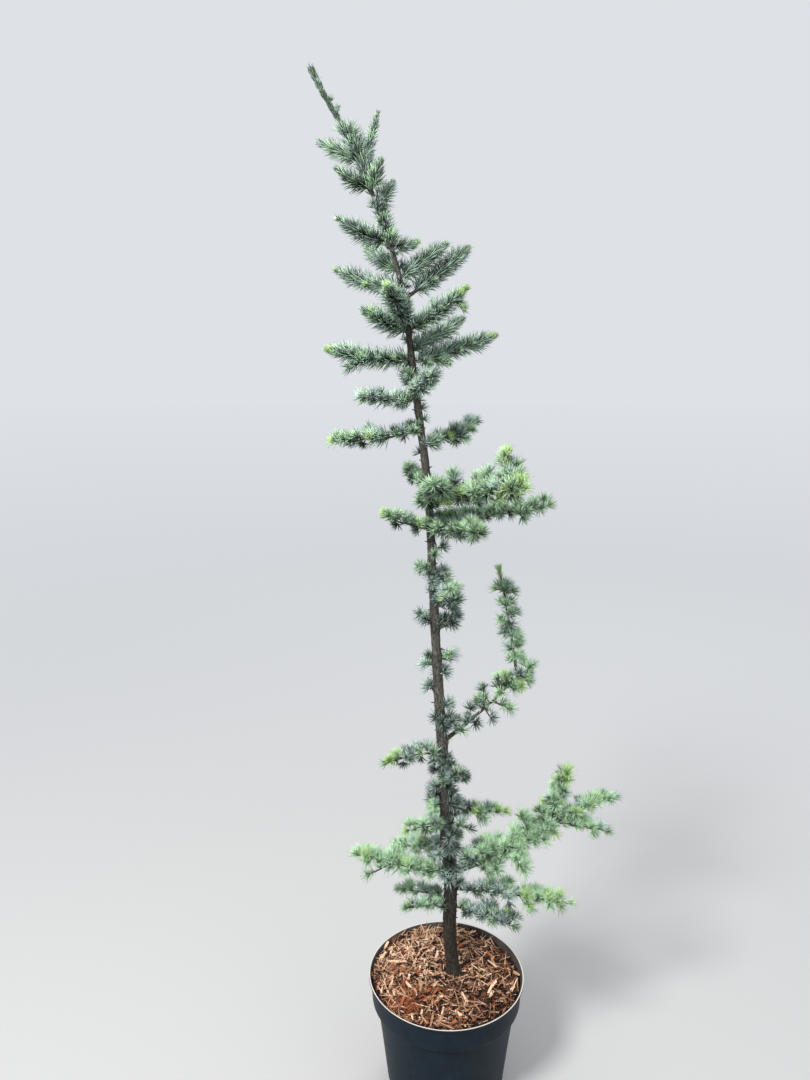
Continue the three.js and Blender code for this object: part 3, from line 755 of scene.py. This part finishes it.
def drawn_out(sides, rows):
    """A closed bar along Z, from rows of height and radius. A last radius of 0 makes a point."""
    bm = bmesh.new()
    bmesh.ops.create_circle(bm, cap_ends=True, segments=sides, radius=rows[0][1])
    top = bm.faces[:]
    height, radius = rows[0]
    bmesh.ops.translate(bm, verts=bm.verts, vec=(0, 0, height))
    for next_height, next_radius in rows[1:]:
        if next_radius == 0:
            poked = bmesh.ops.poke(bm, faces=top)
            bmesh.ops.translate(bm, verts=poked["verts"], vec=(0, 0, next_height - height))
            break
        grown = bmesh.ops.extrude_face_region(bm, geom=top)["geom"]
        if height == rows[0][0]:
            bmesh.ops.contextual_create(bm, geom=[e for e in bm.edges if e.is_boundary])
        verts = [g for g in grown if isinstance(g, bmesh.types.BMVert)]
        top = [g for g in grown if isinstance(g, bmesh.types.BMFace)]
        growth = next_radius / radius
        bmesh.ops.scale(bm, verts=verts, vec=(growth, growth, 1))
        bmesh.ops.translate(bm, verts=verts, vec=(0, 0, next_height - height))
        height, radius = next_height, next_radius
    return shape_of(bm)


def across(directions):
    """Two directions square to each of these and to each other."""
    spare = np.where(np.abs(directions[:, 2:3]) < 0.9, [[0.0, 0.0, 1.0]], [[1.0, 0.0, 0.0]])
    first = unit(np.cross(spare, directions))
    return first, np.cross(directions, first)


def repeated(shape, feet, along, side, length, wide, thick, bend):
    """One shape set down many times: its Z runs along, its X to the side, and it bends to that side."""
    points, faces = shape
    x, y, z = points[:, 0], points[:, 1], points[:, 2]
    curve = bend[:, None] * length[:, None] * z[None, :] ** 2
    where = (
        feet[:, None, :]
        + along[:, None, :] * (z[None, :] * length[:, None])[..., None]
        + side[:, None, :] * (x[None, :] * wide[:, None] + curve)[..., None]
        + np.cross(along, side)[:, None, :] * (y[None, :] * thick[:, None])[..., None]
    )
    numbers = faces[None] + (np.arange(len(feet)) * len(points))[:, None, None]
    return where.reshape(-1, 3), numbers.reshape(-1, 3)


def joined(shapes):
    """The points and the triangles of many shapes as one."""
    firsts = np.cumsum([0] + [len(points) for points, _ in shapes])
    moved = [faces + first for (_, faces), first in zip(shapes, firsts)]
    return np.vstack([points for points, _ in shapes]), np.vstack(moved)


def parts_of(some, part):
    """One part of each of these sprays, as an array."""
    return np.array([getattr(spray, part) for spray in some])


def blue_share(points):
    """How many of the sprays at these points are of the bluer kind."""
    height = points[:, 2]
    waist = np.interp(height, [520, 600, 1000, 1060], [0, 0.75, 0.75, 0])
    waist *= np.interp(from_trunk(points), [50, 120], [1, 0.4])
    crown = np.interp(height, [1180, 1300], [0, 0.55])
    return np.maximum.reduce([0.85 * sheltered(points), waist, crown])


def needle_directions(axis, owner, counts, rng):
    """Where needles point, a golden turn apart and ever wider open in a spray, and where they bend to."""
    least, most = np.radians(parts_of(sprays, "opening").astype(float)[owner]).T
    place = np.arange(len(owner)) - np.repeat(np.cumsum(counts) - counts, counts)
    opening = least + (most - least) * ((place + rng.uniform(0, 1, len(owner))) / counts[owner]) ** 0.68
    first_turn = rng.uniform(0, FULL_TURN, len(counts))[owner]
    turn = first_turn + GOLDEN_TURN * place + rng.normal(0, 0.15, len(owner))
    one, two = across(axis)
    out = one * np.cos(turn)[:, None] + two * np.sin(turn)[:, None]
    lift = parts_of(sprays, "lift")[owner][:, None]
    along = unit(axis * np.cos(opening)[:, None] + out * np.sin(opening)[:, None] + UP * lift)
    inward = unit(axis - along * np.sum(axis * along, axis=1)[:, None] + rng.normal(0, 0.25, axis.shape))
    return along, unit(inward - along * np.sum(inward * along, axis=1)[:, None])


def needle_tints(owner, rng):
    """Each needle's number in the list of tints, near that of its spray, which is green, blue or young."""
    bloom = parts_of(sprays, "bloom")[owner]
    lowest = np.where(bloom > YOUNG - 0.5, YOUNG - 0.05, -1)
    # Each needle's tint scatters round its spray's: partly random tone, partly painted glints and shade
    # among the needles
    bloom = np.clip(bloom + rng.normal(0, 0.2, len(owner)), lowest, None)
    blue = (rng.uniform(0, 1, len(sprays)) < blue_share(parts_of(sprays, "foot")))[owner]
    ordinary = np.digitize(bloom, BLOOM_STEPS) + FIRST_BLUE * blue
    return np.where(bloom > YOUNG - 0.1, FIRST_FRESH + (bloom > YOUNG + 0.5), ordinary)


def needle_pieces(foliage):
    """All needles, joined by tint into pieces."""
    rng = np.random.default_rng(5)
    counts = parts_of(sprays, "needles")
    owner = np.repeat(np.arange(len(sprays)), counts)
    axis = parts_of(sprays, "axis")[owner]
    length = parts_of(sprays, "length")[owner] * rng.uniform(0.86, 1.08, len(owner))
    along, inward = needle_directions(axis, owner, counts, rng)
    foot = parts_of(sprays, "foot")[owner] + axis * rng.uniform(-1, 1, len(owner))[:, None]
    radius = NEEDLE_RADIUS * rng.uniform(0.85, 1.15, len(owner))
    bend = NEEDLE_BEND * rng.uniform(-1, 1, len(owner))
    tint = needle_tints(owner, rng)
    shape = drawn_out(3, [(0, 0.75), (0.55, 1.0), (1, 0)])
    rows = (foot, along, inward, length, radius, radius, bend)
    for number, (tint_name, colour) in enumerate(TINTS):
        chosen = np.flatnonzero(tint == number)
        material = needle_material("needles_" + tint_name, colour)
        for part, some in enumerate(np.array_split(chosen, max(1, -(-len(chosen) // NEEDLES_IN_A_PIECE)))):
            points, faces = repeated(shape, *(row[some] for row in rows))
            mesh_piece(f"needles_{tint_name}_{part + 1}", points, faces, material, "needles", foliage)


def spur_pieces(foliage, material):
    """The woody spur under each spray that has one, joined."""
    rng = np.random.default_rng(6)
    chosen = [spray for spray in sprays if not spray.bare]
    axis = parts_of(chosen, "axis")
    length = rng.uniform(3.5, 6, len(chosen))
    thick = rng.uniform(0.85, 1.25, len(chosen))
    feet = parts_of(chosen, "foot") - axis * length[:, None] * 0.9
    shape = drawn_out(4, [(0, 0.8), (1, 0.9)])
    points, faces = repeated(shape, feet, axis, across(axis)[0], length, thick, thick, np.zeros(len(chosen)))
    mesh_piece("spurs", points, faces, material, "bark", foliage)


def tube(line, radii, sides, rng):
    """Points and triangles of a closed, slightly knobbly twig."""
    along = unit(np.gradient(line, axis=0))
    spare = np.array([0.0, 0.0, 1.0]) if abs(along[0][2]) < 0.8 else np.array([1.0, 0.0, 0.0])
    one = unit(np.cross(along, spare))
    two = np.cross(along, one)
    turn = np.linspace(0, FULL_TURN, sides, endpoint=False)
    rough = radii[:, None] * (1 + rng.normal(0, 0.09, (len(line), sides)))
    ring = one[:, None, :] * np.cos(turn)[None, :, None] + two[:, None, :] * np.sin(turn)[None, :, None]
    points = (line[:, None, :] + ring * rough[..., None]).reshape(-1, 3)
    rows, side = np.meshgrid(np.arange(len(line) - 1), np.arange(sides), indexing="ij")
    a = (rows * sides + side).ravel()
    b = (rows * sides + (side + 1) % sides).ravel()
    walls = np.concatenate([np.column_stack([a, b, b + sides]), np.column_stack([a, b + sides, a + sides])])
    edge = np.arange(sides)
    next_edge = (edge + 1) % sides
    last_ring = (len(line) - 1) * sides
    start_cap = np.column_stack([np.full(sides, len(points)), next_edge, edge])
    end_cap = np.column_stack([np.full(sides, len(points) + 1), last_ring + edge, last_ring + next_edge])
    return np.vstack([points, line[0], line[-1]]), np.concatenate([walls, start_cap, end_cap])


def twig_piece(foliage, material):
    """All thin wood of the limbs, joined."""
    rng = np.random.default_rng(8)
    tubes = [tube(line, radii, 8 if level == LIMB else 6, rng) for line, radii, level in twigs]
    mesh_piece("twigs", *joined(tubes), material, "bark", foliage)


def round_limb(line, radii, sides):
    """A closed tapering limb in mesh code: a circle extruded from ring to ring along its line."""
    along = unit(np.gradient(line, axis=0))
    bm = bmesh.new()
    bmesh.ops.create_circle(bm, cap_ends=False, segments=sides, radius=1)
    edges = bm.edges[:]
    before = Matrix.Identity(4)
    rings = []
    for point, way, radius in zip(line, along, radii):
        tilt = Vector((0, 0, 1)).rotation_difference(Vector(way)).to_matrix().to_4x4()
        here = Matrix.Translation(Vector(point * MM)) @ tilt @ Matrix.Scale(radius * MM, 4)
        if rings:
            grown = bmesh.ops.extrude_edge_only(bm, edges=edges)["geom"]
            ring = [g for g in grown if isinstance(g, bmesh.types.BMVert)]
            edges = [g for g in grown if isinstance(g, bmesh.types.BMEdge)]
            edges = [e for e in edges if e.verts[0] in ring and e.verts[1] in ring]
        else:
            ring = bm.verts[:]
        bmesh.ops.transform(bm, matrix=here @ before.inverted(), verts=ring)
        before = here
        rings.append(ring)
    bmesh.ops.holes_fill(bm, edges=[e for e in bm.edges if e.is_boundary], sides=0)
    bmesh.ops.recalc_face_normals(bm, faces=bm.faces)
    return bm, rings


def furrow(bm, rings, line, depth):
    """Bark relief: long furrows with plates between them, by this depth on each ring."""
    bm.normal_update()
    for ring, centre, deep in zip(rings, line, depth):
        middle = Vector(centre * MM)
        for v in ring:
            out = v.co - middle
            at = Vector((v.co.x * 330, v.co.y * 330, v.co.z * 110))
            plates = abs(noise.noise(at)) - 0.22
            lumps = noise.noise(at * 0.35 + Vector((7, 3, 1))) * 1.1
            v.co += out.normalized() * (plates * 1.6 + lumps) * deep * MM


def swell(rings, line, radii):
    """A collar on the trunk at the foot of each limb and tuft, and lobes in the flare above the mulch."""
    collars = [(start, heading) for _, start, heading, *_ in LIMBS if not isinstance(start, tuple)]
    collars += [(height, heading) for height, heading, _ in TRUNK_TUFTS]
    for ring, centre, radius in zip(rings, line, radii):
        near = [(height, heading) for height, heading in collars if abs(height + 3 - centre[2]) < 22]
        for v in ring:
            out = v.co - Vector(centre * MM)
            facing = math.atan2(out.y, out.x)
            swelling = 0.0
            for height, heading in near:
                turn = math.remainder(facing - math.radians(heading), FULL_TURN)
                swelling += math.exp(-(((centre[2] - height - 2) / 7) ** 2) - (turn / 0.6) ** 2)
            lobes = max(0, 1 - (centre[2] - GROUND) / 40) * math.cos(5 * facing + 1) * 1.5
            v.co += out.normalized() * (min(1.3, swelling) * (1 + 0.1 * radius) + lobes) * MM


def trunk_piece(material):
    """The trunk from just under the mulch to the leader's tip."""
    heights = np.concatenate([np.linspace(GROUND - 6, 300, 34), np.arange(303, TREE_TOP - 8, 4.2)])
    line = trunk_at(heights)
    radii = trunk_radius(np.maximum(heights, GROUND))
    bm, rings = round_limb(line, radii, 32)
    furrow(bm, rings, line, np.interp(radii, [1, 4, 8, 13], [0.06, 0.25, 0.6, 0.95]))
    swell(rings, line, radii)
    smooth_piece("trunk_bark", bm, material, ["trunk"])


def bough_pieces(lines, material):
    """The five bare boughs, each run on inside its foliage as the same limb."""
    for name, (bare, radius) in BARE_WOOD.items():
        far = lengths(lines[name])
        end = far[far < far[-1] * 0.7][-1]
        fine = np.arange(0, end, 2.4)
        line = points_along(lines[name], fine)
        radii = np.interp(fine, [0, bare, end], [radius * 1.3, radius * 0.92, 1.3])
        bm, rings = round_limb(line, radii, 16)
        furrow(bm, rings, line, np.interp(radii, [1, 5], [0.1, 0.4]))
        smooth_piece("bough_bark_" + name, bm, material, ["bough_" + name])


# Pot and mulch


def turned(profile, steps):
    """A profile of radius and height in millimetres, turned round the pot's axis."""
    bm = bmesh.new()
    row = [bm.verts.new((radius * MM, 0, height * MM)) for radius, height in profile]
    edges = [bm.edges.new(pair) for pair in zip(row, row[1:])]
    around = {"cent": (0, 0, 0), "axis": (0, 0, 1), "angle": FULL_TURN}
    bmesh.ops.spin(bm, geom=row + edges, steps=steps, use_merge=True, **around)
    bmesh.ops.remove_doubles(bm, verts=bm.verts, dist=1e-6)
    bmesh.ops.recalc_face_normals(bm, faces=bm.faces)
    return bm


def in_a_slot(face):
    """Whether a face of the pot's foot lies in a drain slot. Slots take up a quarter of the way round."""
    centre = face.calc_center_median()
    share = math.atan2(centre.y, centre.x) / FULL_TURN * DRAIN_SLOTS % 1
    on_foot = math.hypot(centre.x, centre.y) > 104 * MM and centre.z < 9 * MM
    outward = centre.x * face.normal.x + centre.y * face.normal.y > 0
    return on_foot and outward and face.normal.to_2d().length > 0.2 and share < 0.25


def pot_piece():
    """The pot: drain slots in its foot, a stepped band under the rim, a rolled lip and thin walls."""
    bm = turned(POT_OUTSIDE + POT_INSIDE, POT_STEPS)
    slots = [face for face in bm.faces if in_a_slot(face)]
    bmesh.ops.inset_region(bm, faces=slots, thickness=0.0006, depth=-0.0014)
    slate = pot_material("slate_plastic", (0.0055, 0.0118, 0.0180), (0.0085, 0.0170, 0.0255))
    dusty = pot_material("dusty_plastic", (0.052, 0.046, 0.042), (0.105, 0.094, 0.086))
    mesh = smooth_piece("pot_shell", bm, slate, ["pot"])
    mesh.materials.append(dusty)
    for face in mesh.polygons:
        outward = face.center.x * face.normal.x + face.center.y * face.normal.y
        face.material_index = int(outward < 0 and 0.1 < face.center.z < 0.2292)


def mulch_height(x, y):
    """The height of the mulch: it slopes down to the right and the front and is heaped round the trunk."""
    slope = 221.0 - 5.5 * (0.9 * x - 0.35 * y) / 140
    heap = 1.5 * np.exp(-((x - 15) ** 2 + (y - 4) ** 2) / 45**2)
    return slope + heap + 1.6 * np.sin(x / 19 + 1) * np.cos(y / 23)


def mulch_bed():
    """The closed bed of fine crumbs under the loose pieces."""
    top = [(radius, 213) for radius in np.linspace(0, 143, 48)]
    bm = turned(top + [(140.5, 190), (0, 190)], 128)
    for v in bm.verts:
        x, y, z = v.co / MM
        if z > 200:
            coarse = noise.noise(Vector((x / 5, y / 5, 0))) * 1.6
            fine = noise.noise(Vector((x / 2, y / 2, 4))) * 0.8
            v.co.z = (float(mulch_height(x, y)) - 1.5 + (coarse + fine)) * MM
    # The bed's near-black colour is partly the crumbs' own and partly painted shade in the gaps between the
    # loose pieces
    material = mulch_material("mulch_bed", (0.014, 0.006, 0.004), 700)
    smooth_piece("mulch_bed", bm, material, ["mulch"])


def mulch_tint(x, y, rng):
    """The colour of each piece: an orange patch at the left front, and darker to the right and the front as
    painted shade.
    """
    patch = np.exp(-((x + 75) ** 2 + (y + 75) ** 2) / 45**2)
    # Painted shade: fewer pale pieces and more dark ones towards the right and the front
    painted_shade = np.clip(0.5 + 0.5 * (x * 0.8 - y * 0.6) / 110, 0, 1)
    weights = np.array([row[2] for row in MULCH])[None, :] * np.ones((len(x), 1))
    weights[:, :1] *= (1.3 - 1.1 * painted_shade)[:, None]
    weights[:, 1:2] *= (1.2 - 0.5 * painted_shade)[:, None]
    weights[:, 2:3] *= (0.3 + 8 * patch)[:, None]
    weights[:, 4:6] *= (0.9 + 0.7 * painted_shade)[:, None]
    limits = np.cumsum(weights, axis=1) / weights.sum(axis=1, keepdims=True)
    return (rng.uniform(0, 1, len(x))[:, None] > limits).sum(axis=1).clip(0, 5)


def mulch_set(count, rng, long, wide, thick):
    """Loose pieces over the bed: what repeated() takes, and the tint of each, or -1 past the pot's wall."""
    far = 142 * np.sqrt(rng.uniform(0, 1, count))
    turn = rng.uniform(0, FULL_TURN, count)
    x, y = far * np.cos(turn), far * np.sin(turn)
    length = np.minimum(rng.uniform(*long, count) * rng.uniform(0.6, 1.3, count), 2.4 * (146 - far) + 5)
    heading = rng.uniform(0, FULL_TURN, count)
    lean = rng.normal(0, 0.33, count)
    along = np.column_stack([np.cos(heading) * np.cos(lean), np.sin(heading) * np.cos(lean), np.sin(lean)])
    tint = mulch_tint(x, y, rng)
    z = mulch_height(x, y) + rng.uniform(-3, 3, count) + np.array([row[3] for row in MULCH])[tint]
    feet = np.column_stack([x, y, z]) - along * length[:, None] / 2
    ends = feet + along * length[:, None]
    inside = np.maximum(np.hypot(feet[:, 0], feet[:, 1]), np.hypot(ends[:, 0], ends[:, 1])) < 143.5
    one, two = across(along)
    roll = rng.normal(0, 0.5, count)[:, None]
    flat = one * np.cos(roll) + two * np.sin(roll)
    sizes = (rng.uniform(*wide, count), rng.uniform(*thick, count), rng.normal(0, 0.12, count))
    return (feet, along, flat, length, *sizes), np.where(inside, tint, -1)


def mulch_pieces():
    """Shredded bark in strands and chips, joined by colour."""
    rng = np.random.default_rng(17)
    strand = drawn_out(3, [(0, 0.5), (0.45, 1.0), (1, 0.35)])
    chip = drawn_out(4, [(0, 0.8), (0.5, 1.0), (1, 0.55)])
    sets = [
        (strand, *mulch_set(MULCH_STRANDS, rng, (14, 42), (0.8, 1.5), (0.45, 0.8))),
        (chip, *mulch_set(MULCH_CHIPS, rng, (16, 36), (1.7, 3.3), (0.5, 0.9))),
    ]
    for number, (colour_name, colour, *_) in enumerate(MULCH):
        name = "mulch_" + colour_name
        shapes = [repeated(shape, *(row[tint == number] for row in rows)) for shape, rows, tint in sets]
        material = mulch_material(name, colour, 420)
        mesh_piece(name, *joined(shapes), material, "mulch", ["mulch"], smooth_faces=False)


# Materials


def shader_of(name):
    """A new material, its node tree and its shader."""
    material = bpy.data.materials.new(name)
    material.use_nodes = True
    return material, material.node_tree, material.node_tree.nodes["Principled BSDF"]


def connect(tree, made, inputs):
    """Gives each of these inputs of a node its value or its link."""
    for key, value in inputs.items():
        if isinstance(value, bpy.types.NodeSocket):
            tree.links.new(value, made.inputs[key])
        else:
            made.inputs[key].default_value = value


def node(tree, kind, inputs, **settings):
    """A shader node with these inputs and settings."""
    made = tree.nodes.new("ShaderNode" + kind)
    for key, value in settings.items():
        setattr(made, key, value)
    connect(tree, made, inputs)
    return made


def place_on(tree):
    """The place on the piece."""
    return node(tree, "TexCoord", {}).outputs["Object"]


def height_on(tree):
    return node(tree, "SeparateXYZ", {"Vector": place_on(tree)}).outputs["Z"]


def grain(tree, stretch, scale, detail, roughness=0.6):
    """Noise over the piece, drawn out by the factors of stretch."""
    place = node(tree, "Mapping", {"Vector": place_on(tree), "Scale": stretch}).outputs[0]
    inputs = {"Vector": place, "Scale": scale, "Detail": detail, "Roughness": roughness}
    return node(tree, "TexNoise", inputs).outputs["Fac"]


def ramp(tree, factor, stops):
    """A colour that runs through these stops."""
    made = node(tree, "ValToRGB", {"Fac": factor})
    elements = made.color_ramp.elements
    while len(elements) < len(stops):
        elements.new(0.5)
    for element, (at, colour) in zip(elements, stops):
        element.position = at
        element.color = (*colour, 1)
    return made.outputs["Color"]


def mixed(tree, kind, factor, one, two):
    """Two colours, mixed or multiplied."""
    one, two = ((*value, 1) if isinstance(value, tuple) else value for value in (one, two))
    inputs = {0: factor, 6: one, 7: two}
    return node(tree, "Mix", inputs, data_type="RGBA", blend_type=kind).outputs[2]


def raised(tree, shader, height, strength, distance):
    """Fine relief from this height."""
    bump = node(tree, "Bump", {"Height": height, "Strength": strength, "Distance": distance})
    connect(tree, shader, {"Normal": bump.outputs["Normal"]})


def range_of(tree, value, low, high, start=0.0, end=1.0):
    """Carries a value between start and end over to a range of its own."""
    inputs = {"Value": value, "From Min": start, "From Max": end, "To Min": low, "To Max": high}
    return node(tree, "MapRange", inputs).outputs[0]


def dress(tree, shader, colour, roughness, specular):
    connect(tree, shader, {"Base Color": colour, "Roughness": roughness, "Specular IOR Level": specular})


def needle_material(name, colour):
    """A plain base colour under the needles' waxy bloom."""
    material, tree, shader = shader_of(name)
    connect(tree, shader, {"Base Color": (*colour, 1), "Roughness": 0.42})
    return material


def bark_material(name, ridge, hollow, scale):
    """Bark: plates with dark furrows between them, paler weathered patches, and painted shade that darkens
    it low down.
    """
    material, tree, shader = shader_of(name)
    furrows = grain(tree, (1, 1, 0.34), scale, 6, 0.68)
    patches = grain(tree, (1, 1, 0.6), scale * 0.09, 3)
    pale_ridge = tuple(c * 1.7 for c in ridge)
    # From dark hollows to pale ridges on the noise of the relief: partly the bark's own darker furrows,
    # partly painted shade in the hollows
    bark = ramp(tree, furrows, [(0.38, hollow), (0.52, ridge), (0.66, pale_ridge)])
    weather = ramp(tree, patches, [(0.42, (0.74, 0.70, 0.66)), (0.62, (1.16, 1.16, 1.12))])
    weathered = mixed(tree, "MULTIPLY", 1.0, bark, weather)
    # Painted shade: the colour is darkened below 0.38 m, fading out by 0.66 m
    above_painted_shade = range_of(tree, height_on(tree), 0, 1, 0.38, 0.66)
    shade = ramp(tree, above_painted_shade, [(0, (0.46, 0.42, 0.36)), (1, (0.98, 0.98, 0.98))])
    colour = mixed(tree, "MULTIPLY", 1.0, weathered, shade)
    dress(tree, shader, colour, range_of(tree, furrows, 0.95, 0.7), 0.3)
    raised(tree, shader, furrows, 0.7, 0.0012)
    return material


def pot_material(name, dark, light):
    """Plastic: a fine moulded grain, faint upright streaks, dust, and a painted highlight along the lip."""
    material, tree, shader = shader_of(name)
    mottle = grain(tree, (1, 1, 1), 26, 4)
    streaks = grain(tree, (1, 1, 0.05), 150, 3)
    plain = ramp(tree, mottle, [(0.35, dark), (0.65, light)])
    streaked = ramp(tree, streaks, [(0.45, (0.96, 0.96, 0.96)), (0.72, (1.12, 1.12, 1.12))])
    plastic = mixed(tree, "MULTIPLY", 1.0, plain, streaked)
    dust_spots = ramp(tree, grain(tree, (1, 1, 0.5), 60, 6), [(0.56, (0, 0, 0)), (0.8, (0.1, 0.1, 0.1))])
    dusty = mixed(tree, "MIX", dust_spots, plastic, (0.10, 0.092, 0.08))
    # Painted highlight: a pale band round the top of the lip, where light catches the rim
    lip = range_of(tree, height_on(tree), 0, 0.95, 0.2288, 0.2299)
    colour = mixed(tree, "MIX", lip, dusty, (0.66, 0.62, 0.56))
    dress(tree, shader, colour, range_of(tree, mottle, 0.38, 0.58), 0.1)
    raised(tree, shader, grain(tree, (1, 1, 1), 1400, 2), 0.12, 0.0004)
    return material


def mulch_material(name, colour, scale):
    """Torn bark: paler and darker fibres."""
    material, tree, shader = shader_of(name)
    fibres = grain(tree, (1, 1, 1), scale, 5, 0.7)
    dark, pale = tuple(c * 0.6 for c in colour), tuple(min(1, c * 1.3) for c in colour)
    torn = ramp(tree, fibres, [(0.34, dark), (0.66, pale)])
    dress(tree, shader, torn, range_of(tree, fibres, 0.95, 0.75), 0.25)
    raised(tree, shader, fibres, 0.5, 0.0006)
    return material


# Studio


def floor_piece():
    """A wide pale floor, which fades into the studio's own colour far away."""
    bm = bmesh.new()
    bmesh.ops.create_circle(bm, cap_ends=True, segments=96, radius=60)
    mesh = mesh_from("floor", bm)
    material, tree, shader = shader_of("pale_floor")
    far = node(tree, "VectorMath", {0: place_on(tree)}, operation="LENGTH").outputs["Value"]
    nearness = node(tree, "Math", {0: 1.1, 1: far}, operation="DIVIDE").outputs[0]
    faded = range_of(tree, nearness, 0, 1, 1.0, 0.0)
    dress(tree, shader, mixed(tree, "MIX", faded, (0.44, 0.44, 0.44), (0, 0, 0)), 0.9, 0.0)
    glow = (*(c * STUDIO_LIGHT for c in STUDIO_COLOUR), 1)
    connect(tree, shader, {"Emission Color": glow, "Emission Strength": faded})
    mesh.materials.append(material)
    floor = in_scene("floor", mesh)


def soft_light(name, place, aim, size, power, colour=(1, 1, 1)):
    lamp = bpy.data.lights.new(name, "AREA")
    lamp.shape = "DISK"
    lamp.size = size
    lamp.energy = power
    lamp.color = colour
    made = in_scene(name, lamp)
    made.location = place
    made.rotation_euler = (Vector(aim) - Vector(place)).to_track_quat("-Z", "Y").to_euler()


def studio():
    """A pale floor and soft light, strongest from the upper left."""
    floor_piece()
    soft_light("key", (-1.9, -2.3, 3.9), (0, 0, 0.9), 1.1, 250, (1, 0.98, 0.95))
    soft_light("fill", (3.0, -3.0, 2.2), (0, 0, 0.9), 3.0, 16, (0.94, 0.97, 1))
    soft_light("back", (1.2, 3.0, 3.2), (0, 0, 1.0), 2.0, 60)
    world = bpy.data.worlds.new("studio")
    world.use_nodes = True
    tree = world.node_tree
    connect(tree, tree.nodes["Background"], {"Color": (*STUDIO_COLOUR, 1), "Strength": STUDIO_LIGHT})
    bpy.context.scene.world = world
    bpy.context.scene.view_settings.view_transform = "Standard"


def camera():
    """The photograph's view."""
    optics = bpy.data.cameras.new("camera")
    optics.sensor_width = SENSOR
    optics.lens = SENSOR * FOCAL_PIXELS / FRAME_PIXELS
    made = in_scene("camera", optics)
    made.location = CAMERA_PLACE
    made.rotation_euler = (math.radians(90 - CAMERA_DIP), 0, 0)
    bpy.context.scene.camera = made


def main():
    foliage = [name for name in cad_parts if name.startswith("foliage_")]
    lines = grow_limbs()
    grow_stem_foliage()
    grow_trunk_tufts()
    trunk_bark = bark_material("trunk_bark", (0.073, 0.070, 0.063), (0.013, 0.012, 0.011), 420)
    twig_bark = bark_material("twig_bark", (0.088, 0.071, 0.055), (0.024, 0.018, 0.014), 700)
    trunk_piece(trunk_bark)
    bough_pieces(lines, twig_bark)
    twig_piece(foliage, twig_bark)
    spur_pieces(foliage, twig_bark)
    needle_pieces(foliage)
    pot_piece()
    mulch_bed()
    mulch_pieces()
    studio()
    camera()


main()
